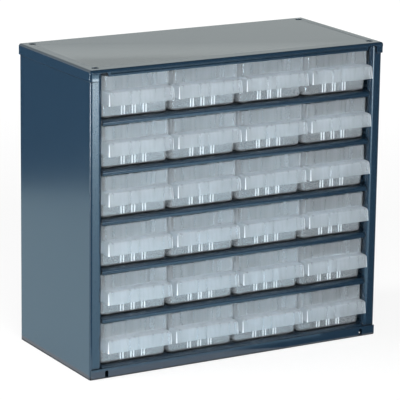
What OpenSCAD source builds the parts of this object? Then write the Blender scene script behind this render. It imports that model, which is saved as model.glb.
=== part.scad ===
// Steel parts cabinet with twenty-four moulded drawers in four columns and six rows.
// X runs to the right, Y to the back and Z up. The origin is the middle of the base's underside.
// Every module below is drawn with Y counted from the front plane of the cover, and placed at the end.

/* [Cabinet] */
// Width over the cover
cabinet_w = 306; // [290:1:340]
// Height
cabinet_h = 283; // [265:1:310]
// Depth of the steel body, without the drawer pulls
cabinet_d = 144; // [130:1:180]
// Thickness of the steel sheet
sheet_t = 0.8; // [0.7:0.1:1]
// Inside radius of the folds
fold_r = 1.6; // [0.8:0.1:1.8]
// Gap between sheets that lie over each other without touching
seam_gap = 0.2; // [0.1:0.05:0.3]

/* [Cover] */
// Height of the skirts at the sides and the back
skirt_h = 10; // [8:0.5:14]
// Height of the strip over the top row
fascia_h = 6.7; // [5:0.1:8]
// Height of the strip's folded-back edge
hem_h = 4; // [3:0.1:4.5]
// Width of the corner tabs that wrap over the jambs
corner_tab_w = 8; // [6:0.5:10]
// Opening between a corner tab and the strip
notch_w = 9.8; // [8:0.1:12]
// Radius in the upper corners of the notches
notch_r = 2.4; // [1.5:0.1:3]

/* [Fixing holes] */
// Diameter of the corner holes in the cover and the base
corner_hole_d = 6.5; // [4:0.1:8]
// Distance of the corner holes from the sides
corner_hole_side = 9.8; // [9:0.1:12]
// Distance of the corner holes from the front and the back
corner_hole_front = 10.3; // [9:0.1:12]
// Diameter of the wall holes in the back panel
wall_hole_d = 5.5; // [4:0.1:8]
// Distance of the wall holes from the top
wall_hole_drop = 22; // [18:1:30]
// Distance between the wall holes
wall_hole_span = 200; // [150:1:240]

/* [Side panels] */
// Width of the front jambs
jamb_w = 7.8; // [6.5:0.1:9]
// Depth of the jambs' inner return
jamb_return = 6; // [4:0.5:8]
// Width of the rear flanges
rear_flange_w = 12; // [10:1:16]

/* [Base] */
// Height of the rail along the bottom of the front, and of the base's other flanges
rail_h = 9.8; // [8:0.1:10]
// Distance of the rail's relief slots from the jambs' inner edge, to the slots' inner edge
relief_inset = 5.7; // [4:0.1:7]
// Width of the relief slots
relief_w = 3.4; // [2.4:0.1:3.8]
// Height of the relief slots
relief_h = 8; // [5:0.5:8.5]

/* [Shelves] */
// Gap between the base's flanges and the underside of the lowest shelf
lowest_shelf_gap = 0.3; // [0.2:0.1:2]
// Height of the top row, from its shelf to the top of the cover
top_row_h = 46; // [42:0.5:50]
// Height of the shelves' front lips
lip_h = 4.4; // [3:0.1:5.5]
// Distance of the lips from the front plane
lip_recess = 2; // [1.9:0.1:4]
// Height of the shelves' upturned edges at the sides and the back
upturn_h = 8; // [6:0.5:12]
// Gap between a lip's end and the jamb
lip_end_gap = 0.4; // [0.2:0.1:1]
// Width of the guide ridges between the columns
ridge_w = 1.2; // [0.8:0.1:1.4]
// Height of the guide ridges
ridge_h = 1.2; // [0.8:0.1:2]
// Distance of the guide ridges from the front and back of a shelf
ridge_inset = 14; // [10:1:20]

/* [Drawers] */
// Space between each jamb and the outer columns
column_margin = 4.4; // [3:0.1:6]
// Gap between neighbouring drawers
drawer_side_gap = 3.1; // [2.6:0.1:4]
// Gap over the drawers
drawer_top_gap = 0.4; // [0.3:0.1:1]
// Gap behind the drawers
drawer_back_gap = 1; // [0.5:0.1:2]
// Running gap under the drawers' glides
glide_gap = 0.1; // [0.05:0.05:0.3]
// Height of the glides under the floor
glide_h = 0.9; // [0.5:0.1:1.5]
// Width of the glides
glide_w = 2; // [1.5:0.1:3]
// Distance of the glides from the drawer's sides
glide_inset = 8; // [7:0.5:14]
// Wall thickness
wall = 1.2; // [1:0.1:1.5]
// Radius of the upright corners
upright_r = 3; // [2:0.1:4]
// Radius of the long lower edges
lower_side_r = 2.5; // [2:0.1:4]
// Radius of the lower edges at the front and the back
lower_front_r = 2; // [1.7:0.1:3]
// Distance of the lower front wall behind the front plane
front_recess = 8.5; // [8:0.1:12]
// How far the upper front wall stands ahead of the lower one
front_step = 4; // [3:0.1:5]
// Height of the ledge at the foot of the upper front wall
ledge_h = 26.9; // [24:0.1:28.5]
// Height of the raised part of the side walls above the drawer, at the back
stop_h = 4; // [3:0.1:4.5]
// Length of the raised part
stop_l = 18; // [10:1:30]

/* [Pulls] */
// How far the pull's lower edge stands ahead of the front plane
pull_reach = 6; // [4:0.1:8]
// How far the pull's face leans forwards from its upper to its lower edge
pull_lean = 1.4; // [0:0.1:2.5]
// Height of the pull's lower edge above the shelf
pull_low = 14; // [11:0.1:16]
// Height of the pull's upper edge above the shelf
pull_high = 26.1; // [22:0.1:26.5]
// Distance of the pull's lower corners from the drawer's sides
pull_side_inset = 0.6; // [0.3:0.1:1.5]
// How far the pull narrows at each side from its lower to its upper edge
pull_taper = 0.7; // [0:0.1:1.5]
// Radius of the pull's upper corners
pull_corner_r = 3.5; // [2:0.1:4.5]
// Radius of the pull's upper front edge
pull_edge_r = 1.8; // [1.3:0.1:2.2]

/* [Divider slots] */
// Thickness of the ribs
rib_t = 0.9; // [0.7:0.1:1.2]
// How far the ribs stand out
rib_reach = 1.2; // [0.8:0.1:1.5]
// Clear width of a slot, for a divider
slot_w = 1.8; // [1.2:0.1:2.2]
// Distance between the slots in the front and back walls
slot_pitch = 10.9; // [9:0.1:12]
// Number of slots in the front wall, and in the back wall
end_slots = 3; // [1:5]
// Number of slots along each side wall
side_slots = 5; // [3:7]

/* [Hidden] */
rows = 6;
columns = 4;

steel_blue = [0.16, 0.24, 0.34];
clear_plastic = [0.72, 0.80, 0.84];

// Steps in a quarter circle of a fold or a rounded edge
arc_steps = 4;
// How far a cutting shape runs past the face it cuts
over = 1;

// Shell of the cabinet
outer_r = fold_r + sheet_t;
side_x = cabinet_w / 2 - sheet_t - seam_gap;
side_inner_x = side_x - sheet_t;
jamb_y = sheet_t + seam_gap;
jamb_inner_x = side_x - jamb_w;
rear_y = cabinet_d - sheet_t - seam_gap;
panel_top = cabinet_h - sheet_t - fold_r;
back_outer_y = rear_y - sheet_t;
back_inner_y = back_outer_y - sheet_t;
back_panel_x = side_inner_x - fold_r;
return_end_y = jamb_y + jamb_return;
// Flat part of the base and the shelves, between their folds
flat_x = side_inner_x - outer_r;
flat_y = back_inner_y - outer_r;

// Cover front
tab_inner_x = cabinet_w / 2 - corner_tab_w;
fascia_end_x = tab_inner_x - notch_w;
fascia_z = cabinet_h - fascia_h;
notch_top = cabinet_h - outer_r - seam_gap;
// The corners of the strip are rounded off
fascia_corner_r = 0.8;

// Shelves
lowest_shelf_z = rail_h + lowest_shelf_gap + sheet_t;
row_pitch = (cabinet_h - top_row_h - lowest_shelf_z) / (rows - 1);
shelf_front_x = jamb_inner_x - lip_end_gap;
shelf_notch_y = return_end_y + lip_end_gap;
lip_back_y = lip_recess + sheet_t;
shelf_back_face = back_inner_y - sheet_t;

// Drawers
column_pitch = 2 * (jamb_inner_x - column_margin) / columns;
drawer_w = column_pitch - drawer_side_gap;
half_w = drawer_w / 2;
bay_h = min(row_pitch - lip_h, top_row_h - fascia_h);
drawer_h = bay_h - drawer_top_gap;
drawer_z = glide_gap + glide_h;
drawer_back_y = shelf_back_face - drawer_back_gap;
upper_front_y = front_recess - front_step;
pull_half_w = half_w - pull_side_inset;
pull_face_y = pull_lean - pull_reach;
// How far the ribs and cheeks run into the wall that carries them
root = 0.3;
side_slot_pitch = (drawer_back_y - front_recess) / (side_slots + 1);

// ---- Names and places ----

function drawer_name(row, column) = str("drawer_r", row, "c", column);
function shelf_z(row) = lowest_shelf_z + (rows - row) * row_pitch;
function column_x(column) = (column - (columns + 1) / 2) * column_pitch;

// ---- Outlines ----

function unit(v) = v / norm(v);
function left_of(v) = [-v[1], v[0]];
function turned(v, a) = [v[0] * cos(a) - v[1] * sin(a), v[0] * sin(a) + v[1] * cos(a)];
function side_of(u, v) = u[0] * v[1] - u[1] * v[0] > 0 ? 1 : -1;
function flipped(p) = [for (i = [len(p) - 1 : -1 : 0]) p[i]];
function heading(p, i) = unit(p[i + 1] - p[i]);

// Corner b on the way from a to c, rounded to radius r
function corner(a, b, c, r) = r <= 0 ? [b] :
    let (
        u = unit(b - a),
        v = unit(c - b),
        turn = side_of(u, v),
        angle = acos(max(-1, min(1, u * v))),
        start = b - u * r * tan(angle / 2),
        middle = start + left_of(u) * turn * r
    )
    [for (k = [0 : arc_steps]) middle + turned(start - middle, turn * angle * k / arc_steps)];

// Closed outline p with its corners rounded to the radii r
function rounded(p, r) = [
    for (i = [0 : len(p) - 1])
        each corner(p[(i + len(p) - 1) % len(p)], p[i], p[(i + 1) % len(p)], is_list(r) ? r[i] : r)
];

// Open path p moved to its left by d
function shifted(p, d) = [
    for (i = [0 : len(p) - 1])
        let (
            a = left_of(heading(p, max(i - 1, 0))),
            b = left_of(heading(p, min(i, len(p) - 2)))
        )
        p[i] + (a + b) * d / (1 + a * b)
];

// One face of a folded sheet: path p moved to its left by d, with its folds rounded
function folded(p, d) =
    let (q = shifted(p, d), last = len(q) - 1)
    concat(
        [q[0]],
        [
            for (i = [1 : last - 1])
                let (inner = side_of(heading(q, i - 1), heading(q, i)) > 0)
                each corner(q[i - 1], q[i], q[i + 1], inner ? outer_r - d : fold_r + d)
        ],
        [q[last]]
    );

// Cross-section of a folded sheet, whose one face follows p with the sheet to its left
module sheet_profile(p) {
    polygon(concat(folded(p, 0), flipped(folded(p, sheet_t))));
}

// Draws a Y-Z outline and extrudes it along X from x0 to x1
module along_x(x0, x1) {
    translate([x0, 0, 0])
        rotate([90, 0, 90])
            linear_extrude(x1 - x0)
                children();
}

// Draws an X-Z outline and extrudes it along Y from y0 to y1
module along_y(y0, y1) {
    translate([0, y1, 0])
        rotate([90, 0, 0])
            linear_extrude(y1 - y0)
                children();
}

// Extrudes an X-Y outline from z0 to z1
module along_z(z0, z1) {
    translate([0, 0, z0])
        linear_extrude(z1 - z0)
            children();
}

// Box from its lowest to its highest corner
module box(low, high) {
    translate(low)
        cube(high - low);
}

// Copies its children to the other side of the middle plane
module both_sides() {
    children();
    mirror([1, 0, 0])
        children();
}

// Upright holes at the four corners of the cover and the base
module corner_holes(z0, z1) {
    both_sides()
        for (y = [corner_hole_front, cabinet_d - corner_hole_front])
            translate([cabinet_w / 2 - corner_hole_side, y, z0])
                cylinder(h = z1 - z0, d = corner_hole_d, $fn = 48);
}

// ---- Cover ----

// Block inside the cover's outer skin, smaller by inset and open downwards to z
module cover_block(inset, z) {
    x = cabinet_w / 2 - inset;
    front = inset;
    back = cabinet_d - inset;
    top = cabinet_h - inset;
    r = outer_r - inset;
    intersection() {
        along_z(z, top)
            polygon(rounded([[-x, front], [x, front], [x, back], [-x, back]], r));
        along_y(front, back)
            polygon(rounded([[-x, z], [x, z], [x, top], [-x, top]], [0, 0, r, r]));
        along_x(-x, x)
            polygon(rounded([[front, z], [back, z], [back, top], [front, top]], [0, 0, r, r]));
    }
}

// Opening in the cover's front, with a notch beside each corner tab
module cover_window() {
    low = cabinet_h - skirt_h - over;
    fold_z = fascia_z + sheet_t;
    along_y(-over, outer_r + over)
        polygon(rounded(
            [
                [-tab_inner_x, low], [tab_inner_x, low],
                [tab_inner_x, notch_top], [fascia_end_x, notch_top], [fascia_end_x, fold_z],
                [-fascia_end_x, fold_z], [-fascia_end_x, notch_top], [-tab_inner_x, notch_top]
            ],
            [0, 0, notch_r, notch_r, 0, 0, notch_r, notch_r]
        ));
}

// Folded-back edge of the strip over the top row
module fascia_hem() {
    top = fascia_z + hem_h;
    intersection() {
        along_x(-fascia_end_x, fascia_end_x)
            polygon(rounded(
                [[0, fascia_z], [2 * sheet_t, fascia_z], [2 * sheet_t, top], [0, top]],
                [sheet_t - seam_gap, sheet_t - seam_gap, 0, 0]
            ));
        along_y(-over, outer_r + over)
            polygon(rounded(
                [
                    [-fascia_end_x, fascia_z], [fascia_end_x, fascia_z],
                    [fascia_end_x, top], [-fascia_end_x, top]
                ],
                [fascia_corner_r, fascia_corner_r, 0, 0]
            ));
    }
}

module top_cover() {
    color(steel_blue) {
        difference() {
            cover_block(0, cabinet_h - skirt_h);
            cover_block(sheet_t, cabinet_h - skirt_h - over);
            cover_window();
            corner_holes(cabinet_h - sheet_t - over, cabinet_h + over);
        }
        fascia_hem();
    }
}

// ---- Side panels ----

// Right-hand panel: jamb with its return at the front, flange at the back
module side_panel() {
    color(steel_blue)
        difference() {
            along_z(0, panel_top)
                sheet_profile([
                    [jamb_inner_x, return_end_y],
                    [jamb_inner_x, jamb_y],
                    [side_x, jamb_y],
                    [side_x, rear_y],
                    [side_x - rear_flange_w, rear_y]
                ]);
            // The base's sheet and its front fold pass under the jamb
            box([0, 0, -over], [side_inner_x, back_inner_y, sheet_t]);
            box([0, 0, -over], [side_inner_x, outer_r, outer_r]);
        }
}

// ---- Base ----

// Slot with a round top that separates the rail from a corner tab
module relief_slot() {
    inner_x = jamb_inner_x - relief_inset;
    outer_x = inner_x + relief_w;
    tip_r = relief_w / 2 - seam_gap;
    along_y(-over, sheet_t + over)
        polygon(rounded(
            [[inner_x, -over], [outer_x, -over], [outer_x, relief_h], [inner_x, relief_h]],
            [0, 0, tip_r, tip_r]
        ));
}

// Flat sheet on height zero from y0 to the back, with its sides and its back edge turned up to a height
module tray(y0, height) {
    x = side_inner_x;
    along_y(y0, flat_y)
        sheet_profile([[-x, height], [-x, 0], [x, 0], [x, height]]);
    along_x(-flat_x, flat_x)
        sheet_profile([[flat_y - outer_r, 0], [back_inner_y, 0], [back_inner_y, height]]);
}

module base_pan() {
    flange_start_y = jamb_y + outer_r + seam_gap;
    color(steel_blue)
        difference() {
            union() {
                along_x(-side_inner_x, side_inner_x)
                    sheet_profile([[0, rail_h], [0, 0], [flange_start_y, 0]]);
                tray(flange_start_y, rail_h);
            }
            both_sides()
                relief_slot();
            corner_holes(-over, sheet_t + over);
        }
}

// ---- Back panel ----

module back_panel() {
    color(steel_blue)
        difference() {
            box([-back_panel_x, back_inner_y, 0], [back_panel_x, back_outer_y, panel_top]);
            both_sides()
                translate([wall_hole_span / 2, back_inner_y - over, cabinet_h - wall_hole_drop])
                    rotate([-90, 0, 0])
                        cylinder(h = sheet_t + 2 * over, d = wall_hole_d, $fn = 48);
        }
}

// ---- Shelves ----

// Ridge that keeps two columns of drawers apart
module guide_ridge(x) {
    foot = ridge_w / 2;
    crest_r = foot / 2;
    along_y(lip_recess + ridge_inset, shelf_back_face - ridge_inset)
        translate([x, 0])
            polygon(rounded(
                [[-foot, -root], [foot, -root], [foot, ridge_h], [-foot, ridge_h]],
                [0, 0, crest_r, crest_r]
            ));
}

// Shelf drawn with its surface at height zero: its front edge is turned down, and the others up
module shelf() {
    color(steel_blue) {
        along_x(-shelf_front_x, shelf_front_x)
            sheet_profile([[shelf_notch_y + over, 0], [lip_recess, 0], [lip_recess, -lip_h]]);
        translate([0, 0, -sheet_t])
            tray(shelf_notch_y, upturn_h + sheet_t);
        for (line = [0 : columns])
            guide_ridge(column_pitch * (line - columns / 2));
    }
}

// ---- Drawers ----

// Part of a drawer's tub behind the plane y, smaller by inset, from z0 up to z1
module tub_block(y, inset, z0, z1) {
    x = half_w - inset;
    front = y + inset;
    back = drawer_back_y - inset;
    r = upright_r - inset;
    along_z(z0, z1)
        polygon(rounded([[-x, front], [x, front], [x, back], [-x, back]], r));
}

// Whole tub smaller by inset, with its lower edges rounded and its top at z1
module tub(inset, z1) {
    x = half_w - inset;
    low = drawer_z + inset;
    front = front_recess + inset;
    back = drawer_back_y - inset;
    side_r = lower_side_r - inset;
    front_r = lower_front_r - inset;
    intersection() {
        union() {
            tub_block(front_recess, inset, low, z1);
            tub_block(upper_front_y, inset, ledge_h - wall + inset, z1);
        }
        along_y(upper_front_y, back + over)
            polygon(rounded([[-x, low], [x, low], [x, z1], [-x, z1]], [side_r, side_r, 0, 0]));
        along_x(-x, x)
            polygon(rounded(
                [
                    [front, low], [back, low], [back, z1], [upper_front_y, z1],
                    [upper_front_y, ledge_h - wall], [front, ledge_h - wall]
                ],
                [front_r, front_r, 0, 0, 0, 0]
            ));
    }
}

// Raised ends of the side walls, which meet the lip when the drawer is pulled right out
module stop_ears() {
    top = drawer_h + stop_h;
    ear_r = stop_h / 2;
    back = drawer_back_y - upright_r;
    along_x(half_w - wall, half_w)
        polygon(rounded(
            [
                [back - stop_l, drawer_h - over], [back, drawer_h - over],
                [back, top], [back - stop_l, top]
            ],
            [0, 0, ear_r, ear_r]
        ));
}

// Pull smaller by inset on its outer faces and open downwards to z
module pull_block(inset, z) {
    low_x = pull_half_w - inset;
    high_x = low_x - pull_taper;
    high = pull_high - inset;
    ledge = ledge_h - inset;
    corner_r = pull_corner_r - inset;
    wall_y = front_recess + (inset > 0 ? 0 : root);
    intersection() {
        along_x(-low_x, low_x)
            polygon(rounded(
                [
                    [wall_y, z], [-pull_reach + inset, z], [-pull_reach + inset, pull_low],
                    [pull_face_y + inset, high], [upper_front_y, ledge], [wall_y, ledge]
                ],
                [0, 0, 0, pull_edge_r - inset, 0, 0]
            ));
        along_y(-pull_reach - over, wall_y)
            polygon(rounded(
                [
                    [-low_x, z], [low_x, z], [low_x, pull_low],
                    [high_x, ledge], [-high_x, ledge], [-low_x, pull_low]
                ],
                [0, 0, 0, corner_r, corner_r, 0]
            ));
    }
}

module pull() {
    difference() {
        pull_block(0, pull_low);
        pull_block(wall, pull_low - over);
    }
}

// Two upright ribs with a divider's slot between them, standing out towards +Y from a wall at y
module slot_ribs(x, y, z0, z1) {
    for (side = [-1, 1])
        translate([x + side * (slot_w + rib_t) / 2 - rib_t / 2, y - root, z0 - root])
            cube([rib_t, rib_reach + root, z1 - z0 + root]);
}

// Ribs for lengthwise dividers in the front and back walls, and for cross dividers in the side walls
module divider_slots() {
    floor_z = drawer_z + wall;
    rib_top = drawer_h - upright_r;
    for (i = [1 : end_slots]) {
        x = (i - (end_slots + 1) / 2) * slot_pitch;
        slot_ribs(x, front_recess + wall, floor_z, ledge_h);
        translate([0, drawer_back_y - wall, 0])
            mirror([0, 1, 0])
                slot_ribs(x, 0, floor_z, rib_top);
    }
    both_sides()
        for (i = [1 : side_slots])
            translate([half_w - wall, front_recess + i * side_slot_pitch, 0])
                rotate([0, 0, 90])
                    slot_ribs(0, 0, floor_z, rib_top);
}

// Low bars under the floor that the drawer slides on
module glides() {
    r = glide_h;
    front = front_recess + lower_front_r;
    back = drawer_back_y - lower_front_r;
    top = drawer_z + root;
    along_x(half_w - glide_inset - glide_w, half_w - glide_inset)
        polygon(rounded(
            [[front, glide_gap], [back, glide_gap], [back, top], [front, top]],
            [r, r, 0, 0]
        ));
}

// Drawer drawn in the middle column, on a shelf at height zero
module drawer() {
    color(clear_plastic) {
        difference() {
            tub(0, drawer_h);
            tub(wall, drawer_h + over);
        }
        both_sides() {
            stop_ears();
            glides();
        }
        pull();
        divider_slots();
    }
}

// ---- Assembly ----

// Moves the front plane from Y zero to its place in front of the origin
module placed() {
    translate([0, -cabinet_d / 2, 0])
        children();
}

placed() top_cover();
placed() mirror([1, 0, 0]) side_panel();  // side_panel_left
placed() side_panel();  // side_panel_right
placed() base_pan();
placed() back_panel();
for (row = [1 : rows])
    placed()
            translate([0, 0, shelf_z(row)])
                shelf();
for (row = [1 : rows])
    for (column = [1 : columns])
        placed()
                translate([column_x(column), 0, shelf_z(row)])
                    drawer();
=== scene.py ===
"""Looks of a steel parts cabinet with translucent plastic drawers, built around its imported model.

Shapes are worked out in millimetres and turned into metres when a piece is finished. Lengths that the
frame gives come from its nodes' boxes; the others are named below. The stage is in metres.
"""

import math

import bmesh
import bpy
from mathutils import Matrix, Vector

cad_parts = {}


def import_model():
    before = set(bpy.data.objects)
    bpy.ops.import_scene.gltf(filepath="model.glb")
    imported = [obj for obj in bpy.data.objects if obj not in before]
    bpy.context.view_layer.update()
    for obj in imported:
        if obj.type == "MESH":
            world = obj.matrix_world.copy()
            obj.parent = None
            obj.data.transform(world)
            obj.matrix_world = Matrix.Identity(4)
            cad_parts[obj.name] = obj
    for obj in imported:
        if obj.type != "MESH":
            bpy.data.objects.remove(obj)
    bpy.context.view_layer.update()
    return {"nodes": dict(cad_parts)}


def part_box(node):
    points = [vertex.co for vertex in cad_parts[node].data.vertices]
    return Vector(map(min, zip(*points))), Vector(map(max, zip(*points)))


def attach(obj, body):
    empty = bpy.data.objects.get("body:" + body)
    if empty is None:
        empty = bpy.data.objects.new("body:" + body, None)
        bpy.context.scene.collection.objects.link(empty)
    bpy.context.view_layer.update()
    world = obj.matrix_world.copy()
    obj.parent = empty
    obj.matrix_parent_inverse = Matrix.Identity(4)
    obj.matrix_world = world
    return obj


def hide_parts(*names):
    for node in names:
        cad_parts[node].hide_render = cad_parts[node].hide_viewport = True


MM = 0.001

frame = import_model()


# ---- Sizes, in millimetres ----


def box_of(node):
    """Lowest and highest corner of a CAD node."""
    low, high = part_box(node)
    return low / MM, high / MM


COVER_LOW, COVER_HIGH = box_of("top_cover")
PANEL_LOW, PANEL_HIGH = box_of("side_panel_right")
BACK_LOW, BACK_HIGH = box_of("back_panel")
BASE_HIGH = box_of("base_pan")[1]
ONE_LOW, ONE_HIGH = box_of("drawer_r1c1")
NEXT_LOW = box_of("drawer_r1c2")[0]
SHELVES = sorted(name for name in frame["nodes"] if name.startswith("shelf_"))
DRAWERS = sorted(name for name in frame["nodes"] if name.startswith("drawer_"))
FRONT = COVER_LOW.y

# Sheet steel
SHEET = 0.8
FOLD_R = 1.6
OUTER_R = FOLD_R + SHEET
SEAM = 0.2
EDGE_R = 0.16
EDGE_ANGLE = 38
SMOOTH_ANGLE = 50
NORMALS_WEIGHT = 80

# Small distances: how far a cutting shape reaches past what it cuts, how far an added one reaches
# into what it stands on, slack for rounding errors, the gap at which two points become one, and the
# radius of a corner that is nearly sharp but keeps all its points
OVER = 1.0
ROOT = 0.3
SLACK = 0.01
MERGE = 0.0005
NEARLY_SHARP_R = 0.002

# Cover
SKIRT_H = 10
SKIRT_RINGS = 4
TAB_W = 8
TAB_INNER_X = COVER_HIGH.x - TAB_W
TAB_FLARE_H = 4
NOTCH_W = 9.8
NOTCH_R = 2.4
NOTCH_TOP = COVER_HIGH.z - OUTER_R - SEAM
FASCIA_END_X = TAB_INNER_X - NOTCH_W
FASCIA_H = 6.7
FASCIA_Z = COVER_HIGH.z - FASCIA_H
HEM_H = 4
GROOVE_UP = 2.9
GROOVE_R = 1.2
GROOVE_DEPTH = 0.7
GROOVE_END = 3

# Fixing holes
CORNER_HOLE_R = 3.25
CORNER_HOLE_SIDE = 9.8
CORNER_HOLE_FRONT = 10.3
WALL_HOLE_R = 2.75
WALL_HOLE_X = 100
WALL_HOLE_DOWN = 22
HOLE_STEPS = 40

# Side panels
JAMB_RETURN = 6
JAMB_FLARE = 0.95
JAMB_SOFTER = 1.6
REAR_FLANGE = 12

# Base
RELIEF_GAP = 5.7
RELIEF_W = 3.4
RELIEF_TOP = 8
RELIEF_TIP_R = 1.65

# Shelves
SHELF_GAP = 0.4
LIP_H = 4.4
LIP_BACK = 2
LIP_LEAN = 0.4
LIP_X = PANEL_LOW.x - SHELF_GAP
LIP_Y = FRONT + LIP_BACK
UPTURN = 8
RIDGE_W = 1.2
RIDGE_H = 1.2
RIDGE_TOP_R = 0.48
RIDGE_INSET = 14
COLUMNS = 4
COLUMN_PITCH = NEXT_LOW.x - ONE_LOW.x

# Drawers: depths are from the cabinet's front plane and heights from the shelf
LIFT = 0.1
WALL = 1.2
UPRIGHT_R = 3.0
LOWER_SIDE_R = 2.5
LOWER_FRONT_R = 2.0
FRONT_RECESS = 8.5
FRONT_STEP = 4.0
UPPER_FRONT = FRONT_RECESS - FRONT_STEP
LEDGE = 26.9
STOP_H = 4
STOP_L = 18
PULL_REACH = 6.0
PULL_LEAN = 1.4
PULL_LOW = 14.0
PULL_HIGH = 26.1
PULL_INSET = 0.6
PULL_TAPER = 0.7
PULL_CORNER_R = 3.5
PULL_EDGE_R = 1.8
PULL_SIDE_R = 0.9
PULL_INNER_R = 0.01
RIB_T = 0.9
RIB_REACH = 1.2
RIB_TOP_R = 0.315
SLOT_W = 1.8
SLOT_PITCH = 10.9
END_SLOTS = 3
SIDE_SLOTS = 5
GLIDE_H = 0.9
GLIDE_W = 2
GLIDE_INSET = 8
DRAWER_EDGE_R = 0.3
DRAWER_EDGE_ANGLE = 60
HALF_W = (ONE_HIGH.x - ONE_LOW.x) / 2
BACK_Y = ONE_HIGH.y - FRONT
FLOOR_Z = GLIDE_H + LIFT
BRIM_Z = ONE_HIGH.z - ONE_LOW.z - STOP_H + LIFT

# Material slot of the drawers' paler edges, whose paleness is partly painted highlight, and how slanting
# a face is that belongs to them
EDGE_SLOT = 1
SLANT = 0.15


# ---- Outlines ----


def rectangle(x0, y0, x1, y1):
    return [(x0, y0), (x1, y0), (x1, y1), (x0, y1)]


def with_left(right):
    """Outline whose right-hand half is given upwards. It starts at the lowest point on the left."""
    left = [(-x, z) for x, z in right]
    return left[:1] + right + left[:0:-1]


def quarter(steps=8):
    """Angles up to a right angle."""
    return [math.radians(90) * k / steps for k in range(steps + 1)]


def corner_arc(before, point, after, radius, steps):
    """The points of a corner rounded to a radius, on the way from one neighbour to the other."""
    u = (point - before).normalized()
    v = (after - point).normalized()
    turn = 1 if u.x * v.y - u.y * v.x > 0 else -1
    angle = math.acos(max(-1, min(1, u.dot(v))))
    if radius <= 0 or angle < 1e-4:
        return [point]
    start = point - u * radius * math.tan(angle / 2)
    middle = start + Vector((-u.y, u.x)) * turn * radius
    arm = start - middle
    return [middle + Matrix.Rotation(turn * angle * k / steps, 2) @ arm for k in range(steps + 1)]


def rounded(points, radii, steps=6):
    """Closed outline with its corners rounded. The radii are one number, or one for each corner."""
    points = [Vector(p) for p in points]
    radii = radii if isinstance(radii, (list, tuple)) else [radii] * len(points)
    outline = []
    for i, point in enumerate(points):
        outline += corner_arc(points[i - 1], point, points[(i + 1) % len(points)], radii[i], steps)
    return outline


def offset(path, distance):
    """Open path moved to its left."""
    moved = []
    last = len(path) - 1
    for i, point in enumerate(path):
        back = path[max(i, 1)] - path[max(i, 1) - 1]
        ahead = path[min(i + 1, last)] - path[min(i + 1, last) - 1]
        a = Vector((-back.y, back.x)).normalized()
        b = Vector((-ahead.y, ahead.x)).normalized()
        moved.append(point + (a + b) * distance / (1 + a.dot(b)))
    return moved


def folded(path, steps=6, wider=()):
    """Closed outline of a folded sheet, whose one face follows the path with the sheet to its left.

    The folds in wider have a larger radius, by that much.
    """
    path = [Vector(p) for p in path]
    more = dict(wider)
    faces = []
    for distance in (0, SHEET):
        line = offset(path, distance)
        face = [line[0]]
        for i in range(1, len(line) - 1):
            u = line[i] - line[i - 1]
            v = line[i + 1] - line[i]
            inner = u.x * v.y - u.y * v.x > 0
            radius = (OUTER_R - distance if inner else FOLD_R + distance) + more.get(i, 0)
            face += corner_arc(line[i - 1], line[i], line[i + 1], radius, steps)
        faces.append(face + [line[-1]])
    return faces[0] + faces[1][::-1]


# ---- Meshes ----


def level(outline, z):
    """X-Y outline at a height."""
    return [(p[0], p[1], z) for p in outline]


def loft(rings):
    """Closed surface through rings with as many points each, with a face over each end."""
    bm = bmesh.new()
    loops = [[bm.verts.new(p) for p in ring] for ring in rings]
    count = len(rings[0])
    for lower, upper in zip(loops, loops[1:]):
        for i in range(count):
            j = (i + 1) % count
            bm.faces.new((lower[i], lower[j], upper[j], upper[i]))
    bm.faces.new(loops[0][::-1])
    bm.faces.new(loops[-1])
    bmesh.ops.remove_doubles(bm, verts=bm.verts, dist=MERGE)
    bmesh.ops.dissolve_degenerate(bm, dist=MERGE, edges=bm.edges)
    bmesh.ops.recalc_face_normals(bm, faces=bm.faces)
    return bm


def along_x(outline, x0, x1):
    """Prism of a Y-Z outline."""
    return loft([[(x, p[0], p[1]) for p in outline] for x in (x0, x1)])


def along_y(outline, y0, y1):
    """Prism of an X-Z outline."""
    return loft([[(p[0], y, p[1]) for p in outline] for y in (y0, y1)])


def along_z(outline, z0, z1):
    """Prism of an X-Y outline."""
    return loft([level(outline, z) for z in (z0, z1)])


def rod(centre, radius, half_length, axis="Z"):
    """Round bar, used to cut holes."""
    angles = [math.tau * k / HOLE_STEPS for k in range(HOLE_STEPS)]
    ring = [(math.cos(a) * radius, math.sin(a) * radius) for a in angles]
    bm = along_z(ring, -half_length, half_length)
    turn = Matrix.Rotation(math.radians(90), 4, "X") if axis == "Y" else Matrix.Identity(4)
    bmesh.ops.transform(bm, matrix=Matrix.Translation(centre) @ turn, verts=bm.verts)
    return bm


def block(low, high):
    """Box from its lowest to its highest corner."""
    return along_z(rectangle(low[0], low[1], high[0], high[1]), low[2], high[2])


def mirrored(bm):
    """A copy on the other side of the middle plane."""
    copy = bm.copy()
    bmesh.ops.transform(copy, matrix=Matrix.Scale(-1, 4, (1, 0, 0)), verts=copy.verts)
    bmesh.ops.reverse_faces(copy, faces=copy.faces)
    return copy


def both(bm):
    """The shape and its copy on the other side."""
    return [bm, mirrored(bm)]


def as_object(bm, name):
    mesh = bpy.data.meshes.new(name)
    bm.to_mesh(mesh)
    bm.free()
    piece = bpy.data.objects.new(name, mesh)
    bpy.context.scene.collection.objects.link(piece)
    return piece


def discard(piece):
    """Removes a piece and its mesh."""
    mesh = piece.data
    bpy.data.objects.remove(piece)
    bpy.data.meshes.remove(mesh)


def taken(piece):
    """The mesh of a piece as a bmesh; the piece is removed."""
    bm = bmesh.new()
    bm.from_mesh(piece.data)
    discard(piece)
    return bm


def settled(piece):
    """Applies a piece's modifiers to its mesh."""
    graph = bpy.context.evaluated_depsgraph_get()
    mesh = bpy.data.meshes.new_from_object(piece.evaluated_get(graph))
    old = piece.data
    piece.modifiers.clear()
    piece.data = mesh
    bpy.data.meshes.remove(old)
    mesh.name = piece.name
    return piece


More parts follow.
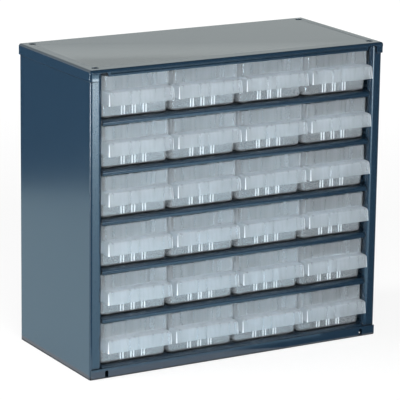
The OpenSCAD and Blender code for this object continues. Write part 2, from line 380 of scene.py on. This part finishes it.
def combined(piece, others, operation):
    """Adds the other shapes to a piece, cuts them from it, or keeps what they share."""
    tools = [as_object(bm, "tool") for bm in others]
    for tool in tools:
        for material in piece.data.materials:
            tool.data.materials.append(material)
        modifier = piece.modifiers.new("combined", "BOOLEAN")
        modifier.operation = operation
        modifier.solver = "EXACT"
        modifier.object = tool
    settled(piece)
    for tool in tools:
        discard(tool)
    return piece


def cut(piece, others):
    return combined(piece, others, "DIFFERENCE")


def joined(piece, others):
    return combined(piece, others, "UNION")


def finished(piece, edge=EDGE_R, angle=EDGE_ANGLE):
    """Rounds the cut edges a little, smooths what is curved and turns millimetres into metres.

    A piece with a second material shows it on the rounded edges.
    """
    bevel = piece.modifiers.new("edges", "BEVEL")
    bevel.width = edge
    bevel.segments = 2
    bevel.limit_method = "ANGLE"
    bevel.angle_limit = math.radians(angle)
    bevel.use_clamp_overlap = True
    bevel.material = len(piece.data.materials) - 1
    settled(piece)
    piece.data.shade_smooth()
    piece.data.set_sharp_from_angle(angle=math.radians(SMOOTH_ANGLE))
    weighted = piece.modifiers.new("normals", "WEIGHTED_NORMAL")
    weighted.mode = "FACE_AREA"
    weighted.weight = NORMALS_WEIGHT
    weighted.keep_sharp = True
    settled(piece)
    piece.data.transform(Matrix.Scale(MM, 4))
    return piece


# ---- Steel pieces ----


def cover_rings(inset):
    """Rings up the cover's skin from its lower edge, smaller by an inset."""
    radius = OUTER_R - inset
    pitch = (SKIRT_H - OUTER_R) / SKIRT_RINGS
    levels = [(COVER_HIGH.z - SKIRT_H + k * pitch, 0) for k in range(SKIRT_RINGS)]
    for angle in quarter():
        z = COVER_HIGH.z - OUTER_R + radius * math.sin(angle)
        levels.append((z, radius * (1 - math.cos(angle))))
    rings = []
    for z, shrink in levels:
        x = COVER_HIGH.x - inset - shrink
        front = COVER_LOW.y + inset + shrink
        back = COVER_HIGH.y - inset - shrink
        corner_r = max(radius - shrink, NEARLY_SHARP_R)
        rings.append(level(rounded(rectangle(-x, front, x, back), corner_r, steps=8), z))
    return rings


def cover_window():
    """Opening in the cover's front, with a notch beside each corner tab."""
    right = [
        (TAB_INNER_X, COVER_HIGH.z - SKIRT_H - OVER),
        (TAB_INNER_X, NOTCH_TOP),
        (FASCIA_END_X, NOTCH_TOP),
        (FASCIA_END_X, FASCIA_Z + SHEET),
    ]
    outline = rounded(with_left(right), [0, 0, NOTCH_R, NOTCH_R] * 2)
    return along_y(outline, FRONT - OVER, FRONT + OUTER_R + OVER)


def fascia_hem():
    """Folded-back edge of the strip over the top row."""
    fold_r = SHEET - 2 * SLACK
    section = rectangle(FRONT, FASCIA_Z, FRONT + 2 * SHEET, FASCIA_Z + HEM_H)
    return along_x(rounded(section, [fold_r, fold_r, 0, 0]), -FASCIA_END_X, FASCIA_END_X)


def fascia_groove():
    """Capsule that presses a shallow groove into the strip."""
    bm = bmesh.new()
    bmesh.ops.create_uvsphere(bm, u_segments=24, v_segments=16, radius=GROOVE_R)
    reach = FASCIA_END_X - GROOVE_END
    turn = Matrix.Rotation(math.radians(90), 4, "Y")
    bmesh.ops.transform(bm, matrix=turn, verts=bm.verts)
    for vert in bm.verts:
        vert.co.x += reach if vert.co.x > 0 else -reach
    place = Vector((0, FRONT - GROOVE_R + GROOVE_DEPTH, FASCIA_Z + GROOVE_UP))
    bmesh.ops.translate(bm, vec=place, verts=bm.verts)
    return bm


def flare_tabs(piece):
    """Turns the lower ends of the corner tabs back like the jambs behind them."""
    top = COVER_HIGH.z - OUTER_R
    for vert in piece.data.vertices:
        point = vert.co
        across = (abs(point.x) - TAB_INNER_X) / TAB_W
        if across > 0 and point.z < top and point.y < FRONT + OUTER_R + SLACK:
            down = min((top - point.z) / TAB_FLARE_H, 1)
            ahead = 1 - (point.y - FRONT) / (OUTER_R + 2 * SLACK)
            point.y += JAMB_FLARE * across * down * ahead


def corner_holes(z):
    """Bars that cut four holes near the cabinet's corners, through the sheet at a height."""
    bars = []
    for y in (COVER_LOW.y + CORNER_HOLE_FRONT, COVER_HIGH.y - CORNER_HOLE_FRONT):
        bars += both(rod((COVER_HIGH.x - CORNER_HOLE_SIDE, y, z), CORNER_HOLE_R, 2 * SHEET))
    return bars


def top_cover():
    piece = as_object(loft(cover_rings(SHEET)[::-1] + cover_rings(0)), "cover")
    cut(piece, [cover_window()])
    flare_tabs(piece)
    joined(piece, [fascia_hem()])
    return cut(piece, corner_holes(COVER_HIGH.z) + [fascia_groove()])


def side_panel():
    """Right-hand panel: jamb with its return at the front, flange at the back.

    The fold is a little short of square, so that the jamb's inner edge stands ahead of its outer one.
    """
    inner_x, outer_x = PANEL_LOW.x, PANEL_HIGH.x
    jamb_y, end_y = PANEL_LOW.y, PANEL_HIGH.y
    path = [
        (inner_x, jamb_y + JAMB_RETURN), (inner_x, jamb_y), (outer_x, jamb_y + JAMB_FLARE),
        (outer_x, end_y), (outer_x - REAR_FLANGE, end_y),
    ]
    section = folded(path, steps=8, wider={1: JAMB_SOFTER})
    piece = as_object(along_z(section, 0, PANEL_HIGH.z), "side_panel")
    under = [
        block((0, FRONT, -OVER), (BASE_HIGH.x, BASE_HIGH.y, SHEET)),
        block((0, FRONT, -OVER), (BASE_HIGH.x, FRONT + OUTER_R, OUTER_R)),
    ]
    return cut(piece, under)


def relief_slot():
    """Slot with a round top that separates the rail from a corner tab."""
    inner_x = PANEL_LOW.x - RELIEF_GAP
    section = rectangle(inner_x, -OVER, inner_x + RELIEF_W, RELIEF_TOP)
    outline = rounded(section, [0, 0, RELIEF_TIP_R, RELIEF_TIP_R])
    return along_y(outline, FRONT - OVER, FRONT + SHEET + ROOT)


def tray(y0, z, height, y_wall, x_wall):
    """Flat sheet from y0 to the back, with its sides and its back edge turned up."""
    flat_x = x_wall - OUTER_R
    flat_y = y_wall - OUTER_R
    sides = folded([(-x_wall, z + height), (-x_wall, z), (x_wall, z), (x_wall, z + height)])
    rear = folded([(flat_y - OUTER_R, z), (y_wall, z), (y_wall, z + height)])
    return along_y(sides, y0, flat_y), along_x(rear, -flat_x, flat_x)


def base_pan():
    x = BASE_HIGH.x
    start_y = PANEL_LOW.y + OUTER_R + SEAM
    sides, rear = tray(start_y - SLACK, 0, BASE_HIGH.z, BASE_HIGH.y, x)
    front = along_x(folded([(FRONT, BASE_HIGH.z), (FRONT, 0), (start_y, 0)]), -x, x)
    piece = joined(as_object(sides, "base"), [rear, front])
    return cut(piece, both(relief_slot()) + corner_holes(0))


def back_panel():
    piece = as_object(block(BACK_LOW, BACK_HIGH), "back")
    hole = (WALL_HOLE_X, BACK_LOW.y, COVER_HIGH.z - WALL_HOLE_DOWN)
    return cut(piece, both(rod(hole, WALL_HOLE_R, 2 * SHEET, "Y")))


def guide_ridge(x):
    """Ridge on a shelf that keeps two columns of drawers apart."""
    foot = RIDGE_W / 2
    section = rectangle(x - foot, -ROOT, x + foot, RIDGE_H)
    outline = rounded(section, [0, 0, RIDGE_TOP_R, RIDGE_TOP_R], steps=4)
    return along_y(outline, LIP_Y + RIDGE_INSET, BASE_HIGH.y - SHEET - RIDGE_INSET)


def shelf():
    """Shelf with its surface at height zero."""
    notch_y = PANEL_LOW.y + JAMB_RETURN + SHELF_GAP
    sides, rear = tray(notch_y, -SHEET, UPTURN + SHEET, BASE_HIGH.y, BASE_HIGH.x)
    front = folded([(notch_y + OVER, 0), (LIP_Y, 0), (LIP_Y + LIP_LEAN, -LIP_H)])
    ridges = [guide_ridge(COLUMN_PITCH * (line - COLUMNS / 2)) for line in range(COLUMNS + 1)]
    return joined(as_object(sides, "shelf"), [rear, along_x(front, -LIP_X, LIP_X)] + ridges)


# ---- Drawers ----


def drawn_in(radius, rise):
    """How far a rounded lower edge still draws in, at a height above its start."""
    return radius - math.sqrt(max(radius**2 - max(radius - rise, 0) ** 2, 0))


def tub_ring(z, inset, front_y):
    """Ring round the drawer at one height, smaller by an inset."""
    rise = z - (FLOOR_Z + inset)
    ends = drawn_in(LOWER_FRONT_R - inset, rise)
    x = HALF_W - inset - drawn_in(LOWER_SIDE_R - inset, rise)
    corners = rectangle(-x, front_y + inset + ends, x, BACK_Y - inset - ends)
    return level(rounded(corners, UPRIGHT_R - inset), z)


def tub_levels(inset):
    """Heights and front faces of the rings up one skin of the tub."""
    start = FLOOR_Z + inset
    step = LEDGE - WALL + inset
    arc = [start + (LOWER_SIDE_R - inset) * (1 - math.cos(angle)) for angle in quarter()]
    return [(z, FRONT_RECESS) for z in arc + [step]] + [(step, UPPER_FRONT), (BRIM_Z, UPPER_FRONT)]


def tub():
    outer = [tub_ring(z, 0, y) for z, y in tub_levels(0)]
    inner = [tub_ring(z, WALL, y) for z, y in tub_levels(WALL)]
    return loft(outer + inner[::-1])


def pull_sides(x, inset, wall_y):
    """Upright prism that leans with the pull's face and rounds its upright edges, the pale lines, their
    paleness partly painted highlight.
    """
    radius = max(PULL_SIDE_R - inset, PULL_INNER_R)
    levels = [(PULL_LOW - 2 * OVER, 0), (PULL_LOW, 0), (PULL_HIGH, PULL_LEAN), (LEDGE + OVER, PULL_LEAN)]
    rings = []
    for z, lean in levels:
        corners = rectangle(-x, lean - PULL_REACH + inset, x, wall_y + OVER)
        rings.append(level(rounded(corners, [radius, radius, 0, 0], steps=4), z))
    bm = loft(rings)
    for face in bm.faces:
        slanting = min(abs(face.normal.x), abs(face.normal.y)) > SLANT
        face.material_index = EDGE_SLOT if slanting else 0
    return bm


def pull_block(inset, z, materials):
    """Pull from a height up, smaller by an inset on its outer faces."""
    low_x = HALF_W - PULL_INSET - inset
    ledge = LEDGE - inset
    face_y = inset - PULL_REACH
    wall_y = FRONT_RECESS + (0 if inset else ROOT)
    corner_r = PULL_CORNER_R - inset
    profile = rounded(
        [
            (wall_y, z), (face_y, z), (face_y, PULL_LOW),
            (face_y + PULL_LEAN, PULL_HIGH - inset), (UPPER_FRONT, ledge), (wall_y, ledge),
        ],
        [0, 0, 0, PULL_EDGE_R - inset, 0, 0],
    )
    right = [(low_x, z), (low_x, PULL_LOW), (low_x - PULL_TAPER, ledge)]
    face = rounded(with_left(right), [0, 0, 0, corner_r, corner_r, 0])
    piece = as_object(along_x(profile, -low_x, low_x), "pull")
    for material in materials:
        piece.data.materials.append(material)
    bounds = [along_y(face, -PULL_REACH - OVER, wall_y), pull_sides(low_x, inset, wall_y)]
    return combined(piece, bounds, "INTERSECT")


def pull(materials):
    """Pull that is hollow and open downwards."""
    inside = taken(pull_block(WALL, PULL_LOW - OVER, materials))
    return taken(cut(pull_block(0, PULL_LOW, materials), [inside]))


def slot_ribs(place, turn, z0, z1, slot=0):
    """Two upright ribs with a divider's slot between them, standing out towards +Y from the place."""
    matrix = Matrix.Translation(place) @ Matrix.Rotation(math.radians(turn), 4, "Z")
    ribs = []
    for side in (-1, 1):
        x = side * (SLOT_W + RIB_T) / 2
        section = rectangle(x - RIB_T / 2, -ROOT, x + RIB_T / 2, RIB_REACH)
        bm = along_z(rounded(section, [0, 0, RIB_TOP_R, RIB_TOP_R], steps=3), z0 - ROOT, z1)
        bmesh.ops.transform(bm, matrix=matrix, verts=bm.verts)
        for face in bm.faces:
            face.material_index = slot
        ribs.append(bm)
    return ribs


def divider_slots():
    """Ribs for dividers on all four walls. Those at the front are as pale as the edges, a paleness that
    is partly painted highlight.
    """
    low = FLOOR_Z + WALL
    high = BRIM_Z - UPRIGHT_R
    side_pitch = (BACK_Y - FRONT_RECESS) / (SIDE_SLOTS + 1)
    ribs = []
    for k in range(END_SLOTS):
        x = (k - (END_SLOTS - 1) / 2) * SLOT_PITCH
        ribs += slot_ribs((x, FRONT_RECESS + WALL, 0), 0, low, LEDGE, EDGE_SLOT)
        ribs += slot_ribs((x, BACK_Y - WALL, 0), 180, low, high)
    for k in range(1, SIDE_SLOTS + 1):
        y = FRONT_RECESS + k * side_pitch
        ribs += slot_ribs((HALF_W - WALL, y, 0), 90, low, high)
        ribs += slot_ribs((WALL - HALF_W, y, 0), -90, low, high)
    return ribs


def stop_ear():
    """Raised end of the right side wall, which meets the lip when the drawer is pulled right out."""
    back = BACK_Y - UPRIGHT_R
    section = rectangle(back - STOP_L, BRIM_Z - OVER, back, BRIM_Z + STOP_H)
    return along_x(rounded(section, [0, 0, STOP_H / 2, STOP_H / 2]), HALF_W - WALL, HALF_W)


def glide():
    """Low bar under the floor that the drawer slides on, at the right."""
    front = FRONT_RECESS + LOWER_FRONT_R
    back = BACK_Y - LOWER_FRONT_R
    section = rectangle(front, FLOOR_Z - GLIDE_H, back, FLOOR_Z + ROOT)
    outer_x = HALF_W - GLIDE_INSET
    return along_x(rounded(section, [GLIDE_H, GLIDE_H, 0, 0]), outer_x - GLIDE_W, outer_x)


def drawer(walls, edges):
    """Drawer on a shelf at height zero, with its middle at X zero and the front plane at Y zero."""
    piece = as_object(tub(), "drawer")
    piece.data.materials.append(walls)
    piece.data.materials.append(edges)
    joined(piece, both(stop_ear()) + both(glide()) + [pull([walls, edges])])
    return joined(piece, divider_slots())


# ---- Shader nodes ----


def tune(tree, node, **settings):
    """Sets a node up. Settings that start with in_ are inputs' values, or outputs that feed them."""
    for key, value in settings.items():
        if not key.startswith("in_"):
            setattr(node, key, value)
            continue
        name = key[3:].replace("_", " ")
        socket = node.inputs[int(name) if name.isdigit() else name]
        if isinstance(value, bpy.types.NodeSocket):
            tree.links.new(value, socket)
        elif socket.type == "RGBA":
            socket.default_value = (*value, 1)
        else:
            socket.default_value = value


def add(tree, kind, **settings):
    """Sets up a new node and gives its outputs."""
    node = tree.nodes.new(kind)
    tune(tree, node, **settings)
    return node.outputs


def maths(tree, operation, first, second):
    return add(tree, "ShaderNodeMath", operation=operation, in_0=first, in_1=second)[0]


def ramp(tree, source, start, end, low=0.0, high=1.0, shape="LINEAR"):
    """Goes from low to high while the source goes from start to end."""
    outputs = add(
        tree, "ShaderNodeMapRange", interpolation_type=shape, in_Value=source,
        in_From_Min=start, in_From_Max=end, in_To_Min=low, in_To_Max=high,
    )
    return outputs["Result"]


def blend(tree, factor, first, second, kind="RGBA"):
    """Colour, or with the kind FLOAT a number, between the first and the second."""
    outputs = add(tree, "ShaderNodeMix", data_type=kind, in_Factor=factor, in_A=first, in_B=second)
    return outputs["Result"]


def mixed(tree, factor, first, second):
    """Shader between two shaders."""
    return add(tree, "ShaderNodeMixShader", in_0=factor, in_1=first, in_2=second)[0]


def noise(tree, place, scale, detail):
    return add(tree, "ShaderNodeTexNoise", in_Vector=place, in_Scale=scale, in_Detail=detail)["Fac"]


def node_tree(name):
    material = bpy.data.materials.new(name)
    material.use_nodes = True
    tree = material.node_tree
    return material, tree, tree.nodes["Principled BSDF"]


# ---- Materials ----

# Paint. Here and below lengths are in metres, and a pair holds the two ends of a range
PAINT_DARKER = (0.0080, 0.0222, 0.0405)
PAINT_LIGHTER = (0.0090, 0.0238, 0.0425)
PAINT_IOR = 1.7
PAINT_ROUGH = (0.18, 0.21)
MOTTLE_SCALE = 28.0
PEEL_SCALE = 900.0
PEEL_STRENGTH = 0.07
PEEL_DEPTH = 0.0002
# Painted shade in seams and hollows: its colour, how far the ambient occlusion looks, and the occlusion
# range over which the painted shade comes in
PAINTED_SHADE_COLOUR = (0.002, 0.003, 0.005)
PAINTED_SHADE_REACH = 0.003
PAINTED_SHADE_RANGE = (0.95, 0.55)

# Plastic: its surface, the flow lines in it, its milkiness by the height over the shelf, what a
# shadow ray keeps, and then how clear, milky, dark and light the walls and the edges are
PLASTIC_IOR = 1.49
PLASTIC_ROUGH = 0.08
COAT_WEIGHT = 0.6
COAT_ROUGH = 0.35
FLOW_SCALE = (260, 260, 12)
FLOW_RANGE = (0.35, 0.65)
FLOW_CONTRAST = 0.1
MILK_HEIGHTS = (0.006, 0.013)
MILK_SHARES = (0.2, 1.5)
MILK_COLOUR = (0.93, 0.96, 0.99)
SHADOW_COLOUR = (0.68, 0.70, 0.71)
WALL_CLEAR = 0.925
WALL_MILKY = 0.12
WALL_DARKER = (0.81, 0.85, 0.88)
WALL_LIGHTER = (0.84, 0.875, 0.90)
# Edges: paler and milkier, partly for the longer path through the plastic and partly as painted
# highlight for the glints on rims and ribs
EDGE_CLEAR = 0.35
EDGE_MILKY = 0.25
EDGE_DARKER = (0.92, 0.95, 0.97)
EDGE_LIGHTER = (0.97, 0.99, 1.0)


def painted_steel():
    """Dark blue powder coat with a fine orange peel, with painted shade that makes it darker and duller
    in seams and hollows.
    """
    material, tree, shader = node_tree("painted_steel")
    place = add(tree, "ShaderNodeTexCoord")["Object"]
    mottle = noise(tree, place, MOTTLE_SCALE, detail=4.0)
    peel = noise(tree, place, PEEL_SCALE, detail=2.0)
    # Painted shade: ambient occlusion darkens the colour and dulls the gloss in seams and hollows
    near = add(tree, "ShaderNodeAmbientOcclusion", samples=8, in_Distance=PAINTED_SHADE_REACH)["AO"]
    painted_shade = ramp(tree, near, *PAINTED_SHADE_RANGE)
    tint = blend(tree, peel, PAINT_DARKER, PAINT_LIGHTER)
    rough = ramp(tree, mottle, 0.0, 1.0, *PAINT_ROUGH)
    bump = add(tree, "ShaderNodeBump", in_Strength=PEEL_STRENGTH, in_Distance=PEEL_DEPTH, in_Height=peel)
    tune(
        tree, shader,
        in_IOR=PAINT_IOR,
        in_Base_Color=blend(tree, painted_shade, tint, PAINTED_SHADE_COLOUR),
        in_Roughness=maths(tree, "MAXIMUM", rough, painted_shade),
        in_Normal=bump["Normal"],
    )
    return material


def clear_plastic(name, clear, milky, darker, lighter):
    """Natural polypropylene: clearer low down, milkier higher up, with faint upright flow lines.

    Shadow rays pass it with a plain loss, so that the lamps light the drawers' insides.
    """
    material, tree, shader = node_tree(name)
    place = add(tree, "ShaderNodeTexCoord")["Object"]
    stretched = add(tree, "ShaderNodeMapping", in_Vector=place, in_Scale=FLOW_SCALE)["Vector"]
    streaks = noise(tree, stretched, 1.0, detail=3.0)
    tune(
        tree, shader,
        in_Roughness=PLASTIC_ROUGH,
        in_IOR=PLASTIC_IOR,
        in_Transmission_Weight=clear,
        in_Coat_Weight=COAT_WEIGHT,
        in_Coat_Roughness=COAT_ROUGH,
        in_Base_Color=blend(tree, streaks, darker, lighter),
    )
    flow = ramp(tree, streaks, *FLOW_RANGE, (1 - FLOW_CONTRAST) * milky, (1 + FLOW_CONTRAST) * milky)
    height = add(tree, "ShaderNodeSeparateXYZ", in_0=place)["Z"]
    share = maths(tree, "MULTIPLY", flow, ramp(tree, height, *MILK_HEIGHTS, *MILK_SHARES))
    milk = add(tree, "ShaderNodeBsdfTranslucent", in_Color=MILK_COLOUR)[0]
    body = mixed(tree, share, shader.outputs[0], milk)
    shadow = add(tree, "ShaderNodeBsdfTransparent", in_Color=SHADOW_COLOUR)[0]
    path = add(tree, "ShaderNodeLightPath")
    surface = mixed(tree, path["Is Shadow Ray"], body, shadow)
    tune(tree, tree.nodes["Material Output"], in_Surface=surface)
    return material


# ---- Pieces in their places ----


def shown(piece, name, body, node, material):
    """Names a finished piece, gives it its finish and lets it stand for its CAD node."""
    piece.name = name
    if not piece.data.materials:
        piece.data.materials.append(material)
    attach(piece, body)
    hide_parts(node)


def copy_of(piece):
    copy = bpy.data.objects.new(piece.name, piece.data)
    bpy.context.scene.collection.objects.link(copy)
    return copy


def build_casing(paint):
    right, left = (finished(as_object(bm, "side_panel")) for bm in both(taken(side_panel())))
    plates = {
        "side_panel_right": right,
        "side_panel_left": left,
        "top_cover": finished(top_cover()),
        "base_pan": finished(base_pan()),
        "back_panel": finished(back_panel()),
    }
    one = finished(shelf())
    for node in SHELVES:
        plates[node] = copy_of(one)
        plates[node].location.z = (box_of(node)[0].z + LIP_H) * MM
    bpy.data.objects.remove(one)
    for node, piece in plates.items():
        shown(piece, node + "_skin", "casing", node, paint)


def build_drawers(walls, edges):
    one = finished(drawer(walls, edges), DRAWER_EDGE_R, DRAWER_EDGE_ANGLE)
    for node in DRAWERS:
        low, high = box_of(node)
        piece = copy_of(one)
        piece.location = Vector(((low.x + high.x) / 2, FRONT, low.z - LIFT)) * MM
        shown(piece, node + "_moulding", node, node, walls)
    bpy.data.objects.remove(one)


# ---- Camera, floor and light, in metres ----

# Camera, fitted to the photograph's edges: angles in degrees, the focal length in the picture's
# pixels, and in millimetres how far the cabinet's middle lies right of its axis, above it and ahead
AZIMUTH, ELEVATION, ROLL = -30.05, 14.37, 0.755
FOCAL_PX = 2548.0
IMAGE_PX = 400
SENSOR = 36.0
MIDDLE_RIGHT, MIDDLE_UP, DISTANCE = 0.153, 7.796, 2378.6

# World: its level on the object, its levels and its tint in reflections, and the directions, as
# heights and as depths, over which its white wall begins
WORLD_LEVEL = 0.28
WORLD_MIRRORED = (0.04, 1.0)
WORLD_TINT = (0.76, 0.82, 0.81)
BACKDROP_TOP = (0.75, 0.35)
BACKDROP_SIDE = (-0.2, 0.3)
WHITE = (1, 1, 1)

# Floor: its glow, the share of it near the cabinet and the distances over which that grows to all
FLOOR_R = 9.0
FLOOR_COLOUR = (0.88, 0.88, 0.88)
FLOOR_GLOW = 1.05
FLOOR_SHARE = 0.8
FLOOR_RISE = (0.5, 1.3)

# Floor, cards and lamps: roughness, what the lamps point at and the cards' heights
MATT = 0.9
AIM = (0, 0, 0.14)
CARD_Z = 0.002
NEAR_CARD_Z = 0.003
SIDE_CARD_H = 0.3

# Name, colour, glow and corners of each card
# Painted reflections: the dark front card stands for floor in shade, the dark bluish side card for a dim
# room, and the pale bluish near and left cards glow as lit floor
CARDS = [
    ("front_card", (0.02, 0.02, 0.02), 0.4, level(
        [(-2.5, -3), (2.5, -3), (2.5, -0.073), (0.05, -0.073), (-0.15, -0.13), (-2.5, -0.45)], CARD_Z,
    )),
    ("side_card", (0.06, 0.12, 0.2), 0.5, (
        level([(-0.95, 0.3), (0.1, 0.85)], 0) + level([(0.1, 0.85), (-0.95, 0.3)], SIDE_CARD_H)
    )),
    ("near_card", (0.5, 0.76, 0.92), 0.25, level(
        [(-0.15, -0.085), (0.1, -0.085), (0.8, -1.3), (0.06, -1.3)], NEAR_CARD_Z,
    )),
    ("left_card", (0.5, 0.67, 0.76), 0.62, level(rectangle(-3, -0.13, -0.155, 0.9), CARD_Z)),
]

# Name, place, width and height, watts, colour and whether it is mirrored of each lamp
LAMPS = [
    ("key", (-2.0, 0.5, 1.7), (0.9, 0.9), 40, WHITE, False),
    ("low", (0.08, -1.14, 0.09), (0.3, 0.16), 2.0, (0.78, 0.92, 1.0), True),
    ("left", (-1.15, -0.05, 0.03), (0.25, 0.05), 1.6, (0.86, 0.94, 1.0), True),
    ("front", (-0.5, -1.45, 0.55), (0.9, 0.4), 28, WHITE, False),
]


def camera():
    """Camera at the angle and distance that put the cabinet's edges where the photograph has them."""
    azimuth, elevation = math.radians(AZIMUTH), math.radians(ELEVATION)
    data = bpy.data.cameras.new("camera")
    data.sensor_width = SENSOR
    data.lens = FOCAL_PX / IMAGE_PX * SENSOR
    data.clip_end = 50
    back = Vector((
        math.sin(azimuth) * math.cos(elevation),
        -math.cos(azimuth) * math.cos(elevation),
        math.sin(elevation),
    ))
    turn = (-back).to_track_quat("-Z", "Y").to_matrix() @ Matrix.Rotation(math.radians(ROLL), 3, "Z")
    middle = Vector((0, 0, COVER_HIGH.z / 2))
    place = middle + turn @ Vector((-MIDDLE_RIGHT, -MIDDLE_UP, DISTANCE))
    piece = bpy.data.objects.new("camera", data)
    piece.matrix_world = Matrix.Translation(place * MM) @ turn.to_4x4()
    bpy.context.scene.collection.objects.link(piece)
    bpy.context.scene.camera = piece


def world():
    """White to the camera and through the plastic, and a plain light on the object.

    Reflections show a white wall behind the cabinet and a dark room ahead of it and above.
    """
    made = bpy.data.worlds.new("studio")
    made.use_nodes = True
    tree = made.node_tree
    path = add(tree, "ShaderNodeLightPath")
    glossy = path["Is Glossy Ray"]
    direction = add(tree, "ShaderNodeTexCoord")["Generated"]
    parts = add(tree, "ShaderNodeSeparateXYZ", in_0=direction)
    low = ramp(tree, parts["Z"], *BACKDROP_TOP, shape="SMOOTHSTEP")
    behind = ramp(tree, parts["Y"], *BACKDROP_SIDE, shape="SMOOTHSTEP")
    reflected = ramp(tree, maths(tree, "MULTIPLY", low, behind), 0.0, 1.0, *WORLD_MIRRORED)
    lighting = blend(tree, glossy, WORLD_LEVEL, reflected, "FLOAT")
    seen = maths(tree, "MAXIMUM", path["Is Camera Ray"], path["Is Transmission Ray"])
    tune(
        tree, tree.nodes["Background"],
        in_Color=blend(tree, glossy, WHITE, WORLD_TINT),
        in_Strength=maths(tree, "MAXIMUM", seen, lighting),
    )
    bpy.context.scene.world = made


def floor():
    """White floor that keeps the shadow and glows to the camera, in reflections and through plastic."""
    bm = bmesh.new()
    bmesh.ops.create_circle(bm, cap_ends=True, segments=96, radius=FLOOR_R)
    piece = as_object(bm, "floor")
    material, tree, shader = node_tree("floor")
    tune(tree, shader, in_Base_Color=FLOOR_COLOUR, in_Roughness=MATT)
    light = add(tree, "ShaderNodeEmission", in_Strength=FLOOR_GLOW)[0]
    path = add(tree, "ShaderNodeLightPath")
    seen = maths(tree, "MAXIMUM", path["Is Camera Ray"], path["Is Glossy Ray"])
    seen = maths(tree, "MAXIMUM", seen, path["Is Transmission Ray"])
    place = add(tree, "ShaderNodeTexCoord")["Object"]
    away = add(tree, "ShaderNodeVectorMath", operation="LENGTH", in_0=place)["Value"]
    share = maths(tree, "MULTIPLY", seen, ramp(tree, away, *FLOOR_RISE, FLOOR_SHARE, 1.0))
    surface = mixed(tree, share, shader.outputs[0], light)
    tune(tree, tree.nodes["Material Output"], in_Surface=surface)
    piece.data.materials.append(material)


def card(name, colour, glow, corners):
    """Studio card that only shows in reflections, lit by the lamps and by a glow of its own; what it
    shows is a painted reflection.
    """
    bm = bmesh.new()
    bm.faces.new([bm.verts.new(corner) for corner in corners])
    piece = as_object(bm, name)
    material, tree, shader = node_tree(name)
    tune(
        tree, shader,
        in_Base_Color=colour, in_Roughness=MATT, in_Emission_Color=colour, in_Emission_Strength=glow,
    )
    piece.data.materials.append(material)
    piece.visible_camera = False
    piece.visible_diffuse = False
    piece.visible_shadow = False


def lamp(name, place, size, power, colour, glare):
    """Soft lamp. Without glare it isn't mirrored, like light through a polarising filter."""
    data = bpy.data.lights.new(name, "AREA")
    data.shape = "RECTANGLE"
    data.size, data.size_y = size
    data.energy = power
    data.color = colour
    piece = bpy.data.objects.new(name, data)
    piece.location = place
    piece.rotation_euler = (Vector(AIM) - Vector(place)).to_track_quat("-Z", "Y").to_euler()
    piece.visible_camera = False
    piece.visible_glossy = glare
    bpy.context.scene.collection.objects.link(piece)


camera()
world()
floor()
for settings in CARDS:
    card(*settings)
for settings in LAMPS:
    lamp(*settings)

build_casing(painted_steel())
build_drawers(
    clear_plastic("clear_polypropylene", WALL_CLEAR, WALL_MILKY, WALL_DARKER, WALL_LIGHTER),
    clear_plastic("clear_polypropylene_edges", EDGE_CLEAR, EDGE_MILKY, EDGE_DARKER, EDGE_LIGHTER),
)

bpy.context.scene.view_settings.view_transform = "Standard"
